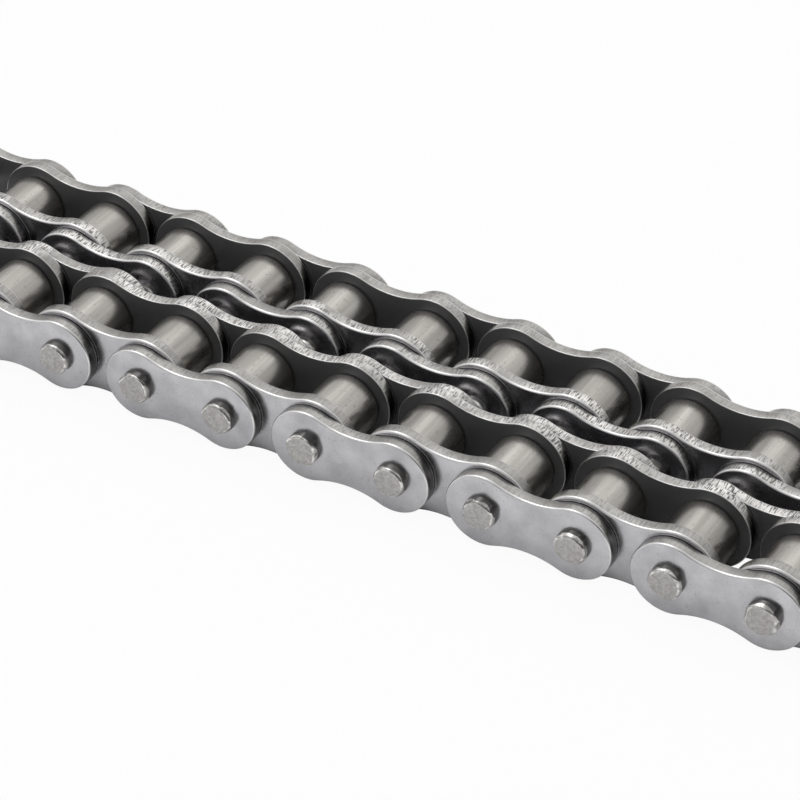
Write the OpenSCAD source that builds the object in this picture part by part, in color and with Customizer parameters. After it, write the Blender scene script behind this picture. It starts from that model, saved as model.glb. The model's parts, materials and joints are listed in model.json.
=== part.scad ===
// Motorcycle drive chain: two straight lengths of single-strand roller chain that lie
// side by side on their plate edges, the near strand in front of the far one.
// X runs along the strands, Y along the pins away from the viewer, Z up from the floor.
// Each strand alternates outer links (two plates riveted on two pins) with inner links
// (two plates pressed on two bushes, each bush with a loose roller round it).

/* [Chain] */
// Distance between neighbouring pin centres
pitch = 12.7; // [12.3:0.1:16]
// Clear width between the two inner plates of a link
inner_width = 7.75; // [6:0.05:10]

/* [Inner plates] */
// Height of an inner plate across its round ends
inner_plate_h = 11.5; // [10:0.1:12]
// Height of an inner plate at its waist
inner_waist_h = 9.2; // [7.5:0.1:9.8]
// Thickness of an inner plate
inner_plate_t = 1.75; // [1.2:0.05:2.4]

/* [Outer plates] */
// Height of an outer plate across its round ends
outer_plate_h = 10.3; // [9:0.1:11.8]
// Height of an outer plate at its waist
outer_waist_h = 7.9; // [6:0.1:8.8]
// Thickness of an outer plate
outer_plate_t = 1.75; // [1.2:0.05:2.4]
// Bevel that stamping and tumbling leave on the edges of every plate
plate_bevel = 0.22; // [0.1:0.02:0.4]

/* [Pins] */
// Diameter of a pin
pin_d = 4.5; // [3.6:0.05:4.9]
// How far a pin end stands out of its outer plate
pin_standout = 1.25; // [0.8:0.05:2]
// Width of the bevel that riveting leaves round a pin end
rivet_bevel_w = 0.4; // [0.1:0.05:0.8]
// Depth of that bevel along the pin
rivet_bevel_l = 0.3; // [0.1:0.05:0.6]

/* [Bushes and rollers] */
// Wall of a bush
bush_wall = 0.75; // [0.5:0.05:0.9]
// Outside diameter of a roller
roller_d = 8.5; // [8:0.05:9.5]
// Bevel on the outer rims of a roller
roller_bevel = 0.35; // [0.1:0.05:0.6]
// Bevel that leads the outer rims of a bush into its plate holes
bush_bevel = 0.1; // [0.05:0.05:0.2]
// Bevel at the mouths of a roller's or bush's bore
bore_bevel = 0.15; // [0.05:0.05:0.3]

/* [Clearances] */
// Running clearance on the radius between a pin and its bush
pin_play = 0.05; // [0.02:0.01:0.1]
// Running clearance on the radius between a bush and its roller
roller_play = 0.08; // [0.02:0.01:0.1]
// Side clearance between a roller and each inner plate
roller_side_play = 0.1; // [0.05:0.01:0.3]
// Side clearance between an inner plate and the outer plate beside it
plate_side_play = 0.15; // [0.05:0.01:0.3]
// Hairline on the radius between a bush and the plate holes that it is pressed in
bush_seat = 0.01; // [0.01:0.005:0.02]

/* [Strands] */
// Gap between the facing pin ends of the two strands
strand_gap = 0.3; // [0.3:0.05:5]
// How far the far strand lies ahead of the near one along X
far_lead = 1.8; // [0:0.1:3]

/* [Hidden] */
$fa = 4;
$fs = 0.1;

// Colours as the photograph shows them
plate_colour = "#a4a5a8";
roller_colour = "#98958e";
pin_colour = "#8f8f91";

// Round sizes of the pieces that run on or sit in each other
pin_r = pin_d / 2;
bush_bore_r = pin_r + pin_play;
bush_r = bush_bore_r + bush_wall;
roller_bore_r = bush_r + roller_play;
roller_r = roller_d / 2;

// Distances from a strand's mid plane, going outwards along the pins
inner_plate_y = inner_width / 2;
bush_half_l = inner_plate_y + inner_plate_t;
outer_plate_y = bush_half_l + plate_side_play;
pin_half_l = outer_plate_y + outer_plate_t + pin_standout;
roller_half_l = inner_plate_y - roller_side_play;

// Each strand runs from a free outer link at its left to a free inner link at its right,
// so its ends fit each other. Pins are counted from 0 at the left.
link_pairs = 6;
last_pin = 2 * link_pairs;
strand_l = outer_plate_h / 2 + last_pin * pitch + inner_plate_h / 2;
strand_y = pin_half_l + strand_gap / 2;

// The lower of the two plate outlines never sets the height: the chain rests on its taller plates
pin_z = max(inner_plate_h, outer_plate_h) / 2;

// Places of the two strands: [x of pin 0, y of the mid plane]
near = [-(strand_l + far_lead) / 2 + outer_plate_h / 2, -strand_y];
far = near + [far_lead, 2 * strand_y];

// Small overrun that takes a cut clear through a face
cut = 0.1;

// How far the waist arcs of a plate run into its round ends
waist_merge = 0.01;

// Puts its children, drawn along Z round the origin, on a strand's pin with Z turned to Y
module at_pin(strand, pin, y = 0) {
    translate([strand.x + pin * pitch, strand.y + y, pin_z])
    rotate([-90, 0, 0])
    children();
}

// Round body of radius r from z = -half_l to half_l, its rims bevelled by w across and l along
module bevelled_rod(r, half_l, w, l) {
    rotate_extrude()
    polygon([
        [0, -half_l], [r - w, -half_l], [r, -half_l + l],
        [r, half_l - l], [r - w, half_l], [0, half_l],
    ]);
}

// Sleeve with bevels on its outer rims and at the mouths of its bore
module sleeve(r, bore_r, half_l, rim, mouth) {
    rotate_extrude()
    polygon([
        [bore_r + mouth, -half_l], [r - rim, -half_l], [r, -half_l + rim],
        [r, half_l - rim], [r - rim, half_l], [bore_r + mouth, half_l],
        [bore_r, half_l - mouth], [bore_r, -half_l + mouth],
    ]);
}

// Cutter for one side of a waist: a spool whose flared ends bevel the edges that it leaves
module waist_spool(r, half_t) {
    rotate_extrude()
    polygon([
        [0, -half_t - cut], [r + plate_bevel + cut, -half_t - cut],
        [r, -half_t + plate_bevel], [r, half_t - plate_bevel],
        [r + plate_bevel + cut, half_t + cut], [0, half_t + cut],
    ]);
}

// Link plate from x = 0 to pitch. Its round ends run smoothly into two waist arcs: each arc meets
// an end about where the line from the end's centre to the arc's centre crosses it.
module link_plate(h, waist_h, t, hole_r) {
    meet_d = h - 2 * waist_merge;
    waist_r = (pow(pitch, 2) + pow(waist_h, 2) - pow(meet_d, 2)) / (4 * (meet_d - waist_h));
    waist_y = waist_h / 2 + waist_r;
    difference() {
        union() {
            for (x = [0, pitch])
                translate([x, 0, 0])
                bevelled_rod(h / 2, t / 2, plate_bevel, plate_bevel);
            difference() {
                linear_extrude(t, center = true)
                polygon([[0, 0], [pitch / 2, -waist_y], [pitch, 0], [pitch / 2, waist_y]]);
                for (side = [-1, 1])
                    translate([pitch / 2, side * waist_y, 0])
                    waist_spool(waist_r, t / 2);
            }
        }
        for (x = [0, pitch])
            translate([x, 0, 0])
            cylinder(h = t + 2 * cut, r = hole_r, center = true);
    }
}

// Inner link k: two plates pressed on the ends of two bushes
module inner_link(strand, k) {
    color(plate_colour) {
        for (side = [-1, 1])
            at_pin(strand, 2 * k - 1, side * (inner_plate_y + inner_plate_t / 2))
            link_plate(inner_plate_h, inner_waist_h, inner_plate_t, bush_r + bush_seat);
        for (pin = [2 * k - 1, 2 * k])
            at_pin(strand, pin)
            sleeve(bush_r, bush_bore_r, bush_half_l, bush_bevel, bore_bevel);
    }
}

// Roller on pin k, loose on its bush between the inner plates
module roller(strand, k) {
    color(roller_colour)
    at_pin(strand, k)
    sleeve(roller_r, roller_bore_r, roller_half_l, roller_bevel, bore_bevel);
}

// The two plates of outer link k
module outer_plates(strand, k) {
    color(plate_colour)
    for (side = [-1, 1])
        at_pin(strand, 2 * k - 2, side * (outer_plate_y + outer_plate_t / 2))
        link_plate(outer_plate_h, outer_waist_h, outer_plate_t, pin_r);
}

// The two pins of outer link k, riveted at both ends
module pins(strand, k) {
    color(pin_colour)
    for (pin = [2 * k - 2, 2 * k - 1])
        at_pin(strand, pin)
        bevelled_rod(pin_r, pin_half_l, rivet_bevel_w, rivet_bevel_l);
}

inner_link(near, 1);  // near_inner_link_1
inner_link(near, 2);  // near_inner_link_2
inner_link(near, 3);  // near_inner_link_3
inner_link(near, 4);  // near_inner_link_4
inner_link(near, 5);  // near_inner_link_5
inner_link(near, 6);  // near_inner_link_6
roller(near, 1);  // near_roller_1
roller(near, 2);  // near_roller_2
roller(near, 3);  // near_roller_3
roller(near, 4);  // near_roller_4
roller(near, 5);  // near_roller_5
roller(near, 6);  // near_roller_6
roller(near, 7);  // near_roller_7
roller(near, 8);  // near_roller_8
roller(near, 9);  // near_roller_9
roller(near, 10);  // near_roller_10
roller(near, 11);  // near_roller_11
roller(near, 12);  // near_roller_12
outer_plates(near, 1);  // near_outer_plates_1
outer_plates(near, 2);  // near_outer_plates_2
outer_plates(near, 3);  // near_outer_plates_3
outer_plates(near, 4);  // near_outer_plates_4
outer_plates(near, 5);  // near_outer_plates_5
outer_plates(near, 6);  // near_outer_plates_6
pins(near, 1);  // near_pins_1
pins(near, 2);  // near_pins_2
pins(near, 3);  // near_pins_3
pins(near, 4);  // near_pins_4
pins(near, 5);  // near_pins_5
pins(near, 6);  // near_pins_6
inner_link(far, 1);  // far_inner_link_1
inner_link(far, 2);  // far_inner_link_2
inner_link(far, 3);  // far_inner_link_3
inner_link(far, 4);  // far_inner_link_4
inner_link(far, 5);  // far_inner_link_5
inner_link(far, 6);  // far_inner_link_6
roller(far, 1);  // far_roller_1
roller(far, 2);  // far_roller_2
roller(far, 3);  // far_roller_3
roller(far, 4);  // far_roller_4
roller(far, 5);  // far_roller_5
roller(far, 6);  // far_roller_6
roller(far, 7);  // far_roller_7
roller(far, 8);  // far_roller_8
roller(far, 9);  // far_roller_9
roller(far, 10);  // far_roller_10
roller(far, 11);  // far_roller_11
roller(far, 12);  // far_roller_12
outer_plates(far, 1);  // far_outer_plates_1
outer_plates(far, 2);  // far_outer_plates_2
outer_plates(far, 3);  // far_outer_plates_3
outer_plates(far, 4);  // far_outer_plates_4
outer_plates(far, 5);  // far_outer_plates_5
outer_plates(far, 6);  // far_outer_plates_6
pins(far, 1);  // far_pins_1
pins(far, 2);  // far_pins_2
pins(far, 3);  // far_pins_3
pins(far, 4);  // far_pins_4
pins(far, 5);  // far_pins_5
pins(far, 6);  // far_pins_6
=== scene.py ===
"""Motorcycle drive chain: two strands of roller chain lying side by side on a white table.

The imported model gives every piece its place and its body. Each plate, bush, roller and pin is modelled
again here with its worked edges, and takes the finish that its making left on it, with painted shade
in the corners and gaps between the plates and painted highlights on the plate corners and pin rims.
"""

import json
import math

import bpy
from mathutils import Matrix, Vector, noise


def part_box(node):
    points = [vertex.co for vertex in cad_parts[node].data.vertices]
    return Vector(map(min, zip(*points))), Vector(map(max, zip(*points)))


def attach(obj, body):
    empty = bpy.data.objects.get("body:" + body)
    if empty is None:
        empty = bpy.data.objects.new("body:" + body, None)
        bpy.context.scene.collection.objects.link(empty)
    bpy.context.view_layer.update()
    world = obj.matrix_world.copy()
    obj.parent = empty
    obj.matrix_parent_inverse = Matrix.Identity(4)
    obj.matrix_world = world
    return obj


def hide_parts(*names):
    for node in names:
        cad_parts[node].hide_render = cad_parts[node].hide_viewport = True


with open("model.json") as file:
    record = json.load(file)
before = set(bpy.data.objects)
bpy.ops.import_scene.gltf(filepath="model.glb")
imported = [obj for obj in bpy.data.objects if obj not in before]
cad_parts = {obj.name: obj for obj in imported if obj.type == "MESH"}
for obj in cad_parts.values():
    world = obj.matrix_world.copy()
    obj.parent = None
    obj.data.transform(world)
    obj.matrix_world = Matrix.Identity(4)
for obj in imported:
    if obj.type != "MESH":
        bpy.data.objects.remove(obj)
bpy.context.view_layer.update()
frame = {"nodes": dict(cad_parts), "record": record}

# Lengths are in metres. What the frame can tell comes from the frame.
MM = 0.001
STRANDS = ("near", "far")
LINKS = range(1, 1 + sum(name.startswith("near_inner_link_") for name in frame["nodes"]))
ROLLERS = range(1, 1 + sum(name.startswith("near_roller_") for name in frame["nodes"]))
JOINTS = frame["record"]["behaviour"]["joints"]
JOINT_AT = {joint["name"]: Vector(joint["pos_m"]) for joint in JOINTS if "pos_m" in joint}
PITCH = JOINT_AT["near_hinge_2"].x - JOINT_AT["near_hinge_1"].x


def half_size(node):
    """Half the extent of a node along each axis."""
    low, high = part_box(node)
    return (high - low) / 2


OUTER_END_R = half_size("near_outer_plates_1").z
OUTER_FACE_Y = half_size("near_outer_plates_1").y
INNER_END_R = half_size("near_inner_link_1").z
INNER_FACE_Y = half_size("near_inner_link_1").y
PIN_R = half_size("near_pins_1").z
PIN_HALF_L = half_size("near_pins_1").y
ROLLER_R = half_size("near_roller_1").z
ROLLER_HALF_L = half_size("near_roller_1").y

# Plates
OUTER_WAIST_H = 7.9 * MM
INNER_WAIST_H = 9.2 * MM
PLATE_T = 1.75 * MM
ROLL = 0.3 * MM
ROLL_SEGMENTS = 4
BURR = 0.12 * MM
BURR_SEGMENTS = 2
END_STEPS = 60
WAIST_STEPS = 14

# Bushes and rollers
BUSH_R = 3.05 * MM
BUSH_BORE_R = 2.3 * MM
BUSH_BEVEL = 0.1 * MM
ROLLER_BORE_R = 3.13 * MM
ROLLER_RIM = 0.35 * MM
ROLLER_STEPS = 80
BORE_MOUTH = 0.15 * MM
EASE_SEGMENTS = 3

# Pins, whose ends are cut into rings so that the rim can turn over and the face can be dented
RIVET_RIM_W = 0.45 * MM
RIVET_RIM_L = 0.55 * MM
RIVET_RIM_RINGS = 6
FACE_RINGS = 3
FACE_RING_W = 0.4 * MM
STRIKE_DEPTH = 0.08 * MM
STRIKE_SPACING = 1.4 * MM
RIM_WANDER = 0.12
FIRST_SEED = {"near": 0, "far": 100}
SEED_STEP = 2

# All pieces
ROUND_STEPS = 48
WELD = 0.001 * MM
SQUARE_CORNER = math.radians(60)
SMOOTH_CORNER = math.radians(38)

# Places in the lists of finishes, and how far a face has to look along Y to take them
OUTSIDE, CORNER, EDGE, INSIDE = range(4)
SHANK, STRUCK, RIM = range(3)
ALL_ROUND = 0
PLATE_FACE_ABOVE = 0.97
PLATE_CORNER_ABOVE = 0.1
PIN_END_ABOVE = 0.96
PIN_SHANK_BELOW = 0.2


def pin_centre(strand, index):
    """Middle of a strand's pin, counted from 0 at its free outer link."""
    return JOINT_AT[f"{strand}_roller_spin_1"] + Vector(((index - 1) * PITCH, 0, 0))


# Finishes

# Sockets of a Mix node: the factor, then the pair and the result for colours and for numbers
FACTOR = 0
COLOUR_A, COLOUR_B, MIXED_COLOUR = 6, 7, 2
NUMBER_A, NUMBER_B, MIXED_NUMBER = 2, 3, 0


def linear(hex_colour):
    """Linear RGBA of an sRGB hex colour, by the sRGB curve."""
    channels = [int(hex_colour[start:start + 2], 16) / 255 for start in (1, 3, 5)]
    linear_channels = [level / 12.92 if level <= 0.04045 else ((level + 0.055) / 1.055) ** 2.4
                       for level in channels]
    return linear_channels + [1]


def add(tree, kind, inputs=None, **settings):
    """Adds a node, makes its settings, and links or sets its inputs."""
    node = tree.nodes.new(kind)
    for name, value in settings.items():
        setattr(node, name, value)
    for name, value in (inputs or {}).items():
        if isinstance(value, bpy.types.NodeSocket):
            tree.links.new(value, node.inputs[name])
        else:
            node.inputs[name].default_value = value
    return node


def new_finish(name):
    """An empty material and its node tree."""
    finish = bpy.data.materials.new(name)
    finish.use_nodes = True
    finish.node_tree.nodes.clear()
    return finish, finish.node_tree


def stamped_carbon_steel():
    """Carbon steel strip, stamped and tumbled: satin grey, cloudy over some millimetres, with pocks."""
    finish, tree = new_finish("carbon_steel_stamped_and_tumbled")
    place = add(tree, "ShaderNodeTexCoord").outputs["Object"]
    cloud = add(tree, "ShaderNodeTexNoise", {
        "Vector": place, "Scale": 1 / (3.5 * MM), "Detail": 5}).outputs["Fac"]
    tone = add(tree, "ShaderNodeMapRange", {
        "Value": cloud, "From Min": 0.3, "From Max": 0.7}).outputs["Result"]
    # The tumbling grit is about 0.05 mm, drawn at 0.25 mm so that it shows
    grit = add(tree, "ShaderNodeTexNoise", {
        "Vector": place, "Scale": 1 / (0.25 * MM), "Detail": 3}).outputs["Fac"]
    unpocked = add(tree, "ShaderNodeMapRange", {
        "Value": grit, "From Min": 0.26, "From Max": 0.36}).outputs["Result"]
    cloudy = add(tree, "ShaderNodeMix", {
        FACTOR: tone, COLOUR_A: linear("#b0afb2"), COLOUR_B: linear("#c8c7ca")}, data_type="RGBA")
    colour = add(tree, "ShaderNodeMix", {
        FACTOR: unpocked, COLOUR_A: linear("#919194"),
        COLOUR_B: cloudy.outputs[MIXED_COLOUR]}, data_type="RGBA")
    roughness = add(tree, "ShaderNodeMapRange", {"Value": tone, "To Min": 0.3, "To Max": 0.22})
    bump = add(tree, "ShaderNodeBump", {"Height": grit, "Strength": 0.15, "Distance": 0.02 * MM})
    steel = add(tree, "ShaderNodeBsdfPrincipled", {
        "Base Color": colour.outputs[MIXED_COLOUR], "Metallic": 1.0,
        "Roughness": roughness.outputs["Result"], "Normal": bump.outputs["Normal"]})
    add(tree, "ShaderNodeOutputMaterial", {"Surface": steel.outputs["BSDF"]})
    return finish


def worn_corner_painted_highlight():
    """The rolled corner of a stamped plate, rubbed by its neighbours in the tumbling barrel and painted
    much lighter as a highlight line.
    """
    finish, tree = new_finish("carbon_steel_corner_rubbed_and_painted_highlight")
    place = add(tree, "ShaderNodeTexCoord").outputs["Object"]
    rub_and_sheen = add(tree, "ShaderNodeTexNoise", {
        "Vector": place, "Scale": 1 / (0.9 * MM), "Detail": 4}).outputs["Fac"]
    # Painted highlight: the corner is painted far lighter than the plate's face, for the bright line along
    # it
    colour = add(tree, "ShaderNodeMix", {
        FACTOR: rub_and_sheen, COLOUR_A: linear("#d4d4d4"), COLOUR_B: linear("#f6f5f4")}, data_type="RGBA")
    roughness = add(tree, "ShaderNodeMapRange", {"Value": rub_and_sheen, "To Min": 0.4, "To Max": 0.28})
    steel = add(tree, "ShaderNodeBsdfPrincipled", {
        "Base Color": colour.outputs[MIXED_COLOUR], "Metallic": 1.0,
        "Roughness": roughness.outputs["Result"]})
    add(tree, "ShaderNodeOutputMaterial", {"Surface": steel.outputs["BSDF"]})
    return finish


def punched_edge():
    """The edge that the punch left: scored across the plate, torn and sparkling between the two strands."""
    finish, tree = new_finish("carbon_steel_edge_punched")
    place = add(tree, "ShaderNodeTexCoord").outputs["Object"]
    # The scores are about 0.05 mm wide, drawn at 0.25 mm so that they show
    along_scores = add(tree, "ShaderNodeMapping", {
        "Vector": place, "Scale": (1 / (0.25 * MM), 1 / (2.5 * MM), 1 / (0.25 * MM))}).outputs["Vector"]
    scores = add(tree, "ShaderNodeTexNoise", {
        "Vector": along_scores, "Scale": 1.0, "Detail": 3}).outputs["Fac"]
    # The torn grains are about 0.1 mm wide, drawn at 0.16 mm so that they show
    along_grains = add(tree, "ShaderNodeMapping", {
        "Vector": place, "Scale": (1 / (0.16 * MM), 1 / (1.1 * MM), 1 / (0.16 * MM))}).outputs["Vector"]
    grains = add(tree, "ShaderNodeTexNoise", {
        "Vector": along_grains, "Scale": 1.0, "Detail": 3}).outputs["Fac"]
    # Torn most between the strands, in patches
    sideways = add(tree, "ShaderNodeSeparateXYZ", {"Vector": place}).outputs["Y"]
    off_middle = add(tree, "ShaderNodeMath", {0: sideways}, operation="ABSOLUTE").outputs["Value"]
    between = add(tree, "ShaderNodeMapRange", {
        "Value": off_middle, "From Min": 4 * MM, "From Max": 10 * MM,
        "To Min": 1.0, "To Max": 0.25}).outputs["Result"]
    blotches = add(tree, "ShaderNodeTexNoise", {
        "Vector": place, "Scale": 1 / (6 * MM), "Detail": 2}).outputs["Fac"]
    patches = add(tree, "ShaderNodeMapRange", {
        "Value": blotches, "From Min": 0.3, "From Max": 0.6}).outputs["Result"]
    torn = add(tree, "ShaderNodeMath", {0: between, 1: patches}, operation="MULTIPLY").outputs["Value"]
    score_tone = add(tree, "ShaderNodeMapRange", {
        "Value": scores, "From Min": 0.3, "From Max": 0.7}).outputs["Result"]
    scored = add(tree, "ShaderNodeMix", {
        FACTOR: score_tone, COLOUR_A: linear("#a19f9b"), COLOUR_B: linear("#b5b3af")}, data_type="RGBA")
    grain_tone = add(tree, "ShaderNodeMapRange", {
        "Value": grains, "From Min": 0.38, "From Max": 0.54}).outputs["Result"]
    grained = add(tree, "ShaderNodeMix", {
        FACTOR: grain_tone, COLOUR_A: linear("#646260"), COLOUR_B: linear("#f8f6f2")}, data_type="RGBA")
    clean = add(tree, "ShaderNodeMix", {
        FACTOR: torn, COLOUR_A: scored.outputs[MIXED_COLOUR],
        COLOUR_B: grained.outputs[MIXED_COLOUR]}, data_type="RGBA")
    # Painted shade: the edge is painted dark where it meets another plate in a corner, found by ambient
    # occlusion
    openness = add(tree, "ShaderNodeAmbientOcclusion", {"Distance": 3 * MM}, samples=8).outputs["AO"]
    unshaded = add(tree, "ShaderNodeMapRange", {
        "Value": openness, "From Min": 0.55, "From Max": 0.9}).outputs["Result"]
    colour = add(tree, "ShaderNodeMix", {
        FACTOR: unshaded, COLOUR_A: linear("#3c3b3a"),
        COLOUR_B: clean.outputs[MIXED_COLOUR]}, data_type="RGBA")
    height = add(tree, "ShaderNodeMix", {FACTOR: torn, NUMBER_A: scores, NUMBER_B: grains})
    bump = add(tree, "ShaderNodeBump", {
        "Height": height.outputs[MIXED_NUMBER], "Strength": 0.25, "Distance": 0.08 * MM})
    steel = add(tree, "ShaderNodeBsdfPrincipled", {
        "Base Color": colour.outputs[MIXED_COLOUR], "Metallic": 1.0, "Roughness": 0.32,
        "Normal": bump.outputs["Normal"]})
    add(tree, "ShaderNodeOutputMaterial", {"Surface": steel.outputs["BSDF"]})
    return finish


def oiled_steel_with_painted_shade():
    """Carbon steel under the oil film that the chain is packed in, and painted dark as shade for the narrow
    gaps between the plates: dark grey, its shine half dulled.
    """
    finish, tree = new_finish("carbon_steel_oiled_painted_shade")
    place = add(tree, "ShaderNodeTexCoord").outputs["Object"]
    film = add(tree, "ShaderNodeTexNoise", {
        "Vector": place, "Scale": 1 / (3 * MM), "Detail": 3}).outputs["Fac"]
    # Painted shade: the inner faces of the plates are painted dark grey, far darker than the outer faces
    colour = add(tree, "ShaderNodeMix", {
        FACTOR: film, COLOUR_A: linear("#666668"), COLOUR_B: linear("#787879")}, data_type="RGBA")
    roughness = add(tree, "ShaderNodeMapRange", {"Value": film, "To Min": 0.42, "To Max": 0.32})
    steel = add(tree, "ShaderNodeBsdfPrincipled", {
        "Base Color": colour.outputs[MIXED_COLOUR], "Metallic": 0.6,
        "Roughness": roughness.outputs["Result"]})
    add(tree, "ShaderNodeOutputMaterial", {"Surface": steel.outputs["BSDF"]})
    return finish


def hardened_roller_steel():
    """Case-hardened roller steel, tumbled: warm satin grey, banded along the roller, with dull spots."""
    finish, tree = new_finish("roller_steel_case_hardened")
    place = add(tree, "ShaderNodeTexCoord").outputs["Object"]
    along = add(tree, "ShaderNodeMapping", {
        "Vector": place, "Scale": (1 / (1.6 * MM), 1 / (40 * MM), 1 / (1.6 * MM))}).outputs["Vector"]
    streaks = add(tree, "ShaderNodeTexNoise", {
        "Vector": along, "Scale": 1.0, "Detail": 5, "Roughness": 0.6}).outputs["Fac"]
    bands = add(tree, "ShaderNodeMapRange", {
        "Value": streaks, "From Min": 0.3, "From Max": 0.7}).outputs["Result"]
    spots = add(tree, "ShaderNodeTexNoise", {
        "Vector": place, "Scale": 1 / (0.5 * MM), "Detail": 4}).outputs["Fac"]
    unspotted = add(tree, "ShaderNodeMapRange", {
        "Value": spots, "From Min": 0.24, "From Max": 0.4}).outputs["Result"]
    banded = add(tree, "ShaderNodeMix", {
        FACTOR: bands, COLOUR_A: linear("#a5a29c"), COLOUR_B: linear("#d3d0ca")}, data_type="RGBA")
    colour = add(tree, "ShaderNodeMix", {
        FACTOR: unspotted, COLOUR_A: linear("#a19d96"),
        COLOUR_B: banded.outputs[MIXED_COLOUR]}, data_type="RGBA")
    roughness = add(tree, "ShaderNodeMapRange", {"Value": bands, "To Min": 0.34, "To Max": 0.24})
    bump = add(tree, "ShaderNodeBump", {"Height": bands, "Strength": 0.06, "Distance": 0.05 * MM})
    steel = add(tree, "ShaderNodeBsdfPrincipled", {
        "Base Color": colour.outputs[MIXED_COLOUR], "Metallic": 1.0,
        "Roughness": roughness.outputs["Result"], "Normal": bump.outputs["Normal"]})
    add(tree, "ShaderNodeOutputMaterial", {"Surface": steel.outputs["BSDF"]})
    return finish


def hardened_pin_steel():
    """Pin steel, through-hardened and darkened by the oil quench: a dull dark grey round the shank."""
    finish, tree = new_finish("pin_steel_oil_quenched")
    place = add(tree, "ShaderNodeTexCoord").outputs["Object"]
    oxide = add(tree, "ShaderNodeTexNoise", {
        "Vector": place, "Scale": 1 / (1 * MM), "Detail": 3}).outputs["Fac"]
    colour = add(tree, "ShaderNodeMix", {
        FACTOR: oxide, COLOUR_A: linear("#6e6d6c"), COLOUR_B: linear("#8a8886")}, data_type="RGBA")
    steel = add(tree, "ShaderNodeBsdfPrincipled", {
        "Base Color": colour.outputs[MIXED_COLOUR], "Metallic": 1.0, "Roughness": 0.4})
    add(tree, "ShaderNodeOutputMaterial", {"Surface": steel.outputs["BSDF"]})
    return finish


def struck_pin_end():
    """Pin steel where the riveting tool struck it: clean grey, with a faint freckle."""
    finish, tree = new_finish("pin_steel_struck_end")
    place = add(tree, "ShaderNodeTexCoord").outputs["Object"]
    dents = add(tree, "ShaderNodeTexNoise", {
        "Vector": place, "Scale": 1 / (0.35 * MM), "Detail": 5}).outputs["Fac"]
    freckle = add(tree, "ShaderNodeMapRange", {
        "Value": dents, "From Min": 0.3, "From Max": 0.7}).outputs["Result"]
    colour = add(tree, "ShaderNodeMix", {
        FACTOR: freckle, COLOUR_A: linear("#9e9b99"), COLOUR_B: linear("#bfbdba")}, data_type="RGBA")
    bump = add(tree, "ShaderNodeBump", {"Height": freckle, "Strength": 0.15, "Distance": 0.05 * MM})
    steel = add(tree, "ShaderNodeBsdfPrincipled", {
        "Base Color": colour.outputs[MIXED_COLOUR], "Metallic": 1.0, "Roughness": 0.36,
        "Normal": bump.outputs["Normal"]})
    add(tree, "ShaderNodeOutputMaterial", {"Surface": steel.outputs["BSDF"]})
    return finish


def bruised_pin_rim_painted_glints():
    """Pin steel turned over by the riveting tool: bruised, with bright patches painted round the rim as
    glints.
    """
    finish, tree = new_finish("pin_steel_bruised_rim_painted_glints")
    place = add(tree, "ShaderNodeTexCoord").outputs["Object"]
    bruises_and_glints = add(tree, "ShaderNodeTexNoise", {
        "Vector": place, "Scale": 1 / (0.8 * MM), "Detail": 3}).outputs["Fac"]
    bright = add(tree, "ShaderNodeMapRange", {
        "Value": bruises_and_glints, "From Min": 0.4, "From Max": 0.62}).outputs["Result"]
    # Painted glints: near-white patches painted into the rim's colour
    colour = add(tree, "ShaderNodeMix", {
        FACTOR: bright, COLOUR_A: linear("#b0aeab"), COLOUR_B: linear("#f0eeeb")}, data_type="RGBA")
    bump = add(tree, "ShaderNodeBump", {"Height": bruises_and_glints, "Strength": 0.3, "Distance": 0.15 * MM})
    steel = add(tree, "ShaderNodeBsdfPrincipled", {
        "Base Color": colour.outputs[MIXED_COLOUR], "Metallic": 1.0, "Roughness": 0.25,
        "Normal": bump.outputs["Normal"]})
    add(tree, "ShaderNodeOutputMaterial", {"Surface": steel.outputs["BSDF"]})
    return finish


PLATE_FINISHES = [stamped_carbon_steel(), worn_corner_painted_highlight(), punched_edge(), oiled_steel_with_painted_shade()]
ROLLER_FINISHES = [hardened_roller_steel()]
PIN_FINISHES = [hardened_pin_steel(), struck_pin_end(), bruised_pin_rim_painted_glints()]


# Pieces


def deselect():
    """Leaves edit mode with nothing selected."""
    if bpy.context.mode != "OBJECT":
        bpy.ops.object.mode_set(mode="OBJECT")
    bpy.ops.object.select_all(action="DESELECT")


def round_rim(plate, rim_y, width, segments):
    """Rounds the square corner along a plate's outline at rim_y and leaves its holes square."""
    bpy.ops.mesh.select_all(action="DESELECT")
    bpy.ops.mesh.select_mode(type="EDGE")
    bpy.ops.mesh.edges_select_sharp(sharpness=SQUARE_CORNER)
    bpy.ops.object.mode_set(mode="OBJECT")
    for edge in plate.data.edges:
        point = plate.data.vertices[edge.vertices[0]].co
        from_hole = min(math.hypot(point.x - x, point.z) for x in (0, PITCH))
        if abs(point.y - rim_y) > WELD or from_hole < BUSH_R + WELD:
            edge.select = False
    bpy.ops.object.mode_set(mode="EDIT")
    bpy.ops.mesh.bevel(offset=width, segments=segments, affect="EDGES")


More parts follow.
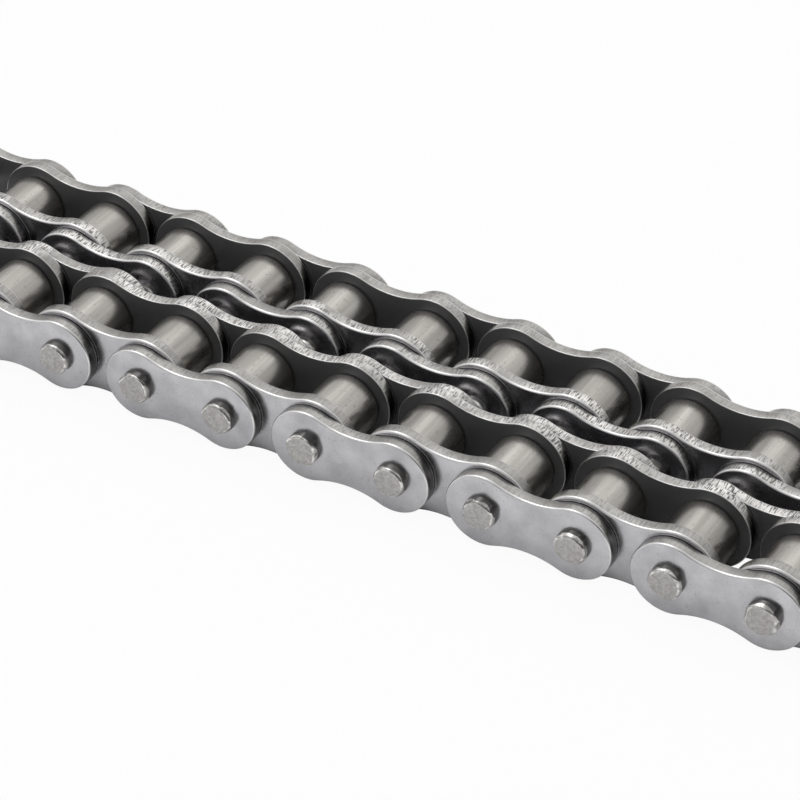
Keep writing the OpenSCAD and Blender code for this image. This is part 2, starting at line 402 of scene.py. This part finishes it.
def link_plate(end_r, waist_h, hole_r):
    """A waisted plate from pin to pin along X and PLATE_T thick along Y, with its outer face at Y = 0.

    The die rolls the corner round that face, and the punch leaves a burr round the other one.
    """
    waist_r = (PITCH ** 2 + waist_h ** 2 - 4 * end_r ** 2) / (4 * (2 * end_r - waist_h))
    waist_z = waist_h / 2 + waist_r
    turn = math.atan2(waist_z, PITCH / 2)
    end_sweep, waist_sweep = 2 * math.pi - 2 * turn, 2 * turn - math.pi
    left, right = (0, 0, 0), (PITCH, 0, 0)
    below, above = (PITCH / 2, 0, -waist_z), (PITCH / 2, 0, waist_z)
    # One point, where the left end meets the upper waist, is spun along the whole outline
    deselect()
    bpy.ops.mesh.primitive_plane_add(size=end_r)
    plate = bpy.context.object
    bpy.ops.object.mode_set(mode="EDIT")
    bpy.ops.mesh.select_mode(type="VERT")
    bpy.ops.mesh.merge(type="CENTER")
    bpy.ops.transform.translate(value=(end_r * math.cos(turn), 0, end_r * math.sin(turn)))
    arcs = ((left, end_sweep, END_STEPS), (below, waist_sweep, WAIST_STEPS),
            (right, end_sweep, END_STEPS), (above, waist_sweep, WAIST_STEPS))
    for centre, sweep, steps in arcs:
        bpy.ops.mesh.spin(steps=steps, angle=sweep, center=centre, axis=(0, 1, 0))
    bpy.ops.mesh.select_all(action="SELECT")
    bpy.ops.mesh.remove_doubles(threshold=WELD)
    for centre in (left, right):
        bpy.ops.mesh.primitive_circle_add(
            vertices=ROUND_STEPS, radius=hole_r, location=centre, rotation=(math.pi / 2, 0, 0))
    bpy.ops.mesh.select_all(action="SELECT")
    bpy.ops.mesh.fill(use_beauty=True)
    bpy.ops.mesh.select_all(action="SELECT")
    bpy.ops.mesh.extrude_region_move(TRANSFORM_OT_translate={"value": (0, PLATE_T, 0)})
    bpy.ops.mesh.select_all(action="SELECT")
    bpy.ops.mesh.normals_make_consistent(inside=False)
    round_rim(plate, 0, ROLL, ROLL_SEGMENTS)
    round_rim(plate, PLATE_T, BURR, BURR_SEGMENTS)
    deselect()
    return plate


def turned_sleeve(radius, bore_r, half_l, rim, steps):
    """A tube round the Y axis: the section of its wall, with eased corners, spun once round."""
    middle_r = (radius + bore_r) / 2
    deselect()
    bpy.ops.mesh.primitive_plane_add(size=2, location=(0, 0, middle_r), rotation=(0, math.pi / 2, 0))
    sleeve = bpy.context.object
    sleeve.scale = ((radius - bore_r) / 2, half_l, 1)
    bpy.ops.object.transform_apply()
    for outer, ease in ((True, rim), (False, BORE_MOUTH)):
        for point in sleeve.data.vertices:
            point.select = (point.co.z > middle_r) == outer
        bpy.ops.object.mode_set(mode="EDIT")
        bpy.ops.mesh.select_mode(type="VERT")
        bpy.ops.mesh.bevel(offset=ease, segments=EASE_SEGMENTS, affect="VERTICES")
        bpy.ops.object.mode_set(mode="OBJECT")
    bpy.ops.object.mode_set(mode="EDIT")
    bpy.ops.mesh.select_all(action="SELECT")
    bpy.ops.mesh.delete(type="ONLY_FACE")
    bpy.ops.mesh.select_all(action="SELECT")
    bpy.ops.mesh.spin(steps=steps, angle=2 * math.pi, center=(0, 0, 0), axis=(0, 1, 0))
    bpy.ops.mesh.select_all(action="SELECT")
    bpy.ops.mesh.remove_doubles(threshold=WELD)
    bpy.ops.mesh.normals_make_consistent(inside=False)
    deselect()
    return sleeve


def riveted_pin(seed):
    """A pin along Y whose ends the riveting tool has struck, each a little differently."""
    deselect()
    bpy.ops.mesh.primitive_cylinder_add(
        vertices=ROUND_STEPS, radius=PIN_R, depth=2 * PIN_HALF_L, rotation=(math.pi / 2, 0, 0))
    pin = bpy.context.object
    bpy.ops.object.transform_apply()
    for face in pin.data.polygons:
        face.select = len(face.vertices) == ROUND_STEPS
    bpy.ops.object.mode_set(mode="EDIT")
    bpy.ops.mesh.select_mode(type="FACE")
    for width in RIVET_RIM_RINGS * [RIVET_RIM_W / RIVET_RIM_RINGS] + FACE_RINGS * [FACE_RING_W]:
        bpy.ops.mesh.inset(thickness=width)
    bpy.ops.object.mode_set(mode="OBJECT")
    for point in pin.data.vertices:
        side = math.copysign(1, point.co.y)
        radius = math.hypot(point.co.x, point.co.z)
        across = Vector((point.co.x, point.co.z, 0)) / STRIKE_SPACING
        blow = noise.noise(across + Vector((0, 0, seed + side / 2)))
        rim = max(0, radius * (1 + RIM_WANDER * blow) - (PIN_R - RIVET_RIM_W)) / RIVET_RIM_W
        fall = 1 - math.sqrt(1 - min(rim, 1) ** 2)
        point.co.y -= side * (STRIKE_DEPTH * (1 + blow) / 2 + RIVET_RIM_L * fall)
    return pin


def pin_finish(face):
    """Struck at both ends, bruised and painted with glints round the rim, and dark between."""
    if abs(face.normal.y) < PIN_SHANK_BELOW:
        return SHANK
    return STRUCK if abs(face.normal.y) > PIN_END_ABOVE else RIM


def plate_finish(face):
    """Outer face, rounded corners, punched edge and inner face of a plate."""
    if abs(face.normal.y) > PLATE_FACE_ABOVE:
        return OUTSIDE if face.normal.y < 0 else INSIDE
    return CORNER if abs(face.normal.y) > PLATE_CORNER_ABOVE else EDGE


def paint(pattern, finishes, choose):
    """Gives a pattern its finishes and picks one of them for each face."""
    for finish in finishes:
        pattern.data.materials.append(finish)
    for face in pattern.data.polygons:
        face.material_index = choose(face)


def copy_at(pattern, place):
    """A copy of a modelled pattern with its own mesh, moved to its place."""
    piece = pattern.copy()
    piece.data = pattern.data.copy()
    piece.data.transform(place)
    bpy.context.collection.objects.link(piece)
    return piece


def plate_pair(pattern, first, face_y):
    """Front and rear plate of a link from its first pin on, their outer faces at face_y from its middle."""
    front = Matrix.Translation(first - Vector((0, face_y, 0)))
    rear = Matrix.Translation(first + Vector((PITCH, face_y, 0))) @ Matrix.Rotation(math.pi, 4, "Z")
    return [copy_at(pattern, front), copy_at(pattern, rear)]


def assembled(name, parts):
    """Joins the separate pieces of one node into one object."""
    deselect()
    for part in parts:
        part.select_set(True)
    bpy.context.view_layer.objects.active = parts[0]
    if len(parts) > 1:
        bpy.ops.object.join()
    piece = bpy.context.object
    piece.name = name
    bpy.ops.object.shade_smooth_by_angle(angle=SMOOTH_CORNER)
    return piece


def stand_for(piece, node, body):
    """Lets a piece stand for its node and move with its body."""
    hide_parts(node)
    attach(piece, body)


outer_pattern = link_plate(OUTER_END_R, OUTER_WAIST_H, PIN_R)
inner_pattern = link_plate(INNER_END_R, INNER_WAIST_H, BUSH_R)
bush_pattern = turned_sleeve(BUSH_R, BUSH_BORE_R, INNER_FACE_Y, BUSH_BEVEL, ROUND_STEPS)
roller_pattern = turned_sleeve(ROLLER_R, ROLLER_BORE_R, ROLLER_HALF_L, ROLLER_RIM, ROLLER_STEPS)
paint(outer_pattern, PLATE_FINISHES, plate_finish)
paint(inner_pattern, PLATE_FINISHES, plate_finish)
paint(bush_pattern, PLATE_FINISHES, lambda face: INSIDE)
paint(roller_pattern, ROLLER_FINISHES, lambda face: ALL_ROUND)

for strand in STRANDS:
    for number in LINKS:
        first = pin_centre(strand, 2 * number - 2)
        second = pin_centre(strand, 2 * number - 1)
        outer_link = f"{strand}_outer_link_{number}"
        node = f"{strand}_outer_plates_{number}"
        plates = assembled(f"{node}_stamped", plate_pair(outer_pattern, first, OUTER_FACE_Y))
        stand_for(plates, node, outer_link)

        node = f"{strand}_pins_{number}"
        pins = []
        for end, centre in enumerate((first, second)):
            pin = riveted_pin(FIRST_SEED[strand] + SEED_STEP * (2 * number + end))
            paint(pin, PIN_FINISHES, pin_finish)
            pin.data.transform(Matrix.Translation(centre))
            pins.append(pin)
        stand_for(assembled(f"{node}_riveted", pins), node, outer_link)

        node = f"{strand}_inner_link_{number}"
        parts = plate_pair(inner_pattern, second, INNER_FACE_Y)
        for offset in (0, PITCH):
            parts.append(copy_at(bush_pattern, Matrix.Translation(second + Vector((offset, 0, 0)))))
        stand_for(assembled(f"{node}_pressed", parts), node, node)
    for number in ROLLERS:
        node = f"{strand}_roller_{number}"
        roller = copy_at(roller_pattern, Matrix.Translation(pin_centre(strand, number)))
        stand_for(assembled(f"{node}_turned", [roller]), node, node)
for pattern in (outer_pattern, inner_pattern, bush_pattern, roller_pattern):
    bpy.data.objects.remove(pattern)


# Table, light and camera

TABLE_SIZE = 6.0
SHADE_REACH = 50 * MM
SHADE_STEEPNESS = 2.6
PAPER_GLOW = 0.95
PAPER_CLEARNESS = 0.95
TO_FRONT_RIGHT = (0.707, -0.707, 0)
ARCH_AT = -0.59
LAMP_PLACE = Vector((-0.3, -0.05, 0.7))
LAMP_SIZE = 0.4
LAMP_WATTS = 1.0
CAMERA_TARGET = Vector((4.1, -1.6, 5.75)) * MM
CAMERA_DISTANCE = 387 * MM
CAMERA_AZIMUTH = math.radians(29.28)
CAMERA_ELEVATION = math.radians(36.35)
CAMERA_ROLL = math.radians(1.16)
# Blender takes the sensor and the lens in millimetres
CAMERA_SENSOR = 36
CAMERA_LENS = 134.9


def white_paper():
    """Matt white paper, which the metal sees glow and which the eye sees as the white room behind it."""
    finish, tree = new_finish("white_paper_matt")
    ray = add(tree, "ShaderNodeLightPath").outputs
    # To the metal it glows white, and is dark where the chains keep the light off it
    openness = add(tree, "ShaderNodeAmbientOcclusion", {"Distance": SHADE_REACH}, samples=8).outputs["AO"]
    lit = add(tree, "ShaderNodeMath", {0: openness, 1: SHADE_STEEPNESS}, operation="POWER").outputs["Value"]
    mirrored = add(tree, "ShaderNodeMath", {
        0: ray["Is Glossy Ray"], 1: ray["Is Transmission Ray"]}, operation="MAXIMUM").outputs["Value"]
    reflected = add(tree, "ShaderNodeMath", {0: mirrored, 1: lit}, operation="MULTIPLY").outputs["Value"]
    glowing = add(tree, "ShaderNodeMath", {
        0: reflected, 1: PAPER_GLOW}, operation="MULTIPLY").outputs["Value"]
    matt = add(tree, "ShaderNodeBsdfDiffuse", {"Color": linear("#f4f4f4")})
    glow = add(tree, "ShaderNodeEmission", {"Color": linear("#ffffff"), "Strength": 1.0})
    paper = add(tree, "ShaderNodeMixShader", {
        FACTOR: glowing, 1: matt.outputs["BSDF"], 2: glow.outputs["Emission"]})
    # The eye looks through it to the white room, so that links bent below the table still show
    seen = add(tree, "ShaderNodeMath", {
        0: ray["Is Camera Ray"], 1: PAPER_CLEARNESS}, operation="MULTIPLY").outputs["Value"]
    clear = add(tree, "ShaderNodeBsdfTransparent")
    both = add(tree, "ShaderNodeMixShader", {
        FACTOR: seen, 1: paper.outputs["Shader"], 2: clear.outputs["BSDF"]})
    add(tree, "ShaderNodeOutputMaterial", {"Surface": both.outputs["Shader"]})
    return finish


def white_room():
    """A white room, brightest in an arch at the back on the left and dim in front on the right."""
    room = bpy.data.worlds.new("white_room")
    room.use_nodes = True
    tree = room.node_tree
    tree.nodes.clear()
    ray = add(tree, "ShaderNodeLightPath").outputs
    direction = add(tree, "ShaderNodeTexCoord").outputs["Generated"]
    upward = add(tree, "ShaderNodeSeparateXYZ", {"Vector": direction}).outputs["Z"]
    height = add(tree, "ShaderNodeMapRange", {
        "Value": upward, "From Min": 0.0, "From Max": 0.65, "To Min": 0.6, "To Max": 1.0},
        interpolation_type="SMOOTHSTEP").outputs["Result"]
    turned = add(tree, "ShaderNodeVectorMath", {
        0: direction, 1: TO_FRONT_RIGHT}, operation="DOT_PRODUCT").outputs["Value"]
    from_arch = add(tree, "ShaderNodeMath", {0: turned, 1: ARCH_AT}, operation="SUBTRACT").outputs["Value"]
    beside = add(tree, "ShaderNodeMath", {0: from_arch}, operation="ABSOLUTE").outputs["Value"]
    arch = add(tree, "ShaderNodeMapRange", {
        "Value": beside, "From Min": 0.14, "From Max": 0.32, "To Min": 1.05, "To Max": 0.7},
        interpolation_type="SMOOTHSTEP").outputs["Result"]
    front = add(tree, "ShaderNodeMapRange", {
        "Value": turned, "From Min": 0.3, "From Max": 0.9, "To Min": 1.0, "To Max": 0.15},
        interpolation_type="SMOOTHSTEP").outputs["Result"]
    walls = add(tree, "ShaderNodeMath", {0: arch, 1: front}, operation="MULTIPLY").outputs["Value"]
    shaded = add(tree, "ShaderNodeMath", {0: height, 1: walls}, operation="MULTIPLY").outputs["Value"]
    # Under the table it is as bright as the paper, for the links that bend below it
    downward = add(tree, "ShaderNodeMath", {0: upward, 1: 0.0}, operation="LESS_THAN").outputs["Value"]
    under = add(tree, "ShaderNodeMath", {
        0: downward, 1: PAPER_GLOW}, operation="MULTIPLY").outputs["Value"]
    around = add(tree, "ShaderNodeMath", {0: under, 1: shaded}, operation="MAXIMUM").outputs["Value"]
    # The eye sees plain white
    level = add(tree, "ShaderNodeMath", {
        0: ray["Is Camera Ray"], 1: around}, operation="MAXIMUM").outputs["Value"]
    light = add(tree, "ShaderNodeBackground", {"Color": linear("#ffffff"), "Strength": level})
    add(tree, "ShaderNodeOutputWorld", {"Surface": light.outputs["Background"]})
    return room


deselect()
bpy.ops.mesh.primitive_plane_add(size=TABLE_SIZE)
table = bpy.context.object
table.name = "white_table"
table.data.materials.append(white_paper())
bpy.context.scene.world = white_room()

# A soft box above on the left looks at the middle of the chains
lamp = bpy.data.lights.new("soft_box_above_left", "AREA")
lamp.size = LAMP_SIZE
lamp.energy = LAMP_WATTS
soft_box = bpy.data.objects.new("soft_box_above_left", lamp)
soft_box.location = LAMP_PLACE
soft_box.rotation_euler = LAMP_PLACE.to_track_quat("Z", "Y").to_euler()
bpy.context.collection.objects.link(soft_box)

# The camera stands to the right in front of the chains and looks down on them
back = Vector((math.sin(CAMERA_AZIMUTH) * math.cos(CAMERA_ELEVATION),
               -math.cos(CAMERA_AZIMUTH) * math.cos(CAMERA_ELEVATION), math.sin(CAMERA_ELEVATION)))
roll = Matrix.Rotation(CAMERA_ROLL, 3, "Z").to_quaternion()
lens = bpy.data.cameras.new("camera")
lens.sensor_width = CAMERA_SENSOR
lens.lens = CAMERA_LENS
lens.clip_start = 10 * MM
camera = bpy.data.objects.new("camera", lens)
camera.location = CAMERA_TARGET + back * CAMERA_DISTANCE
camera.rotation_euler = (back.to_track_quat("Z", "Y") @ roll).to_euler()
bpy.context.collection.objects.link(camera)
bpy.context.scene.camera = camera
bpy.context.scene.view_settings.view_transform = "Standard"
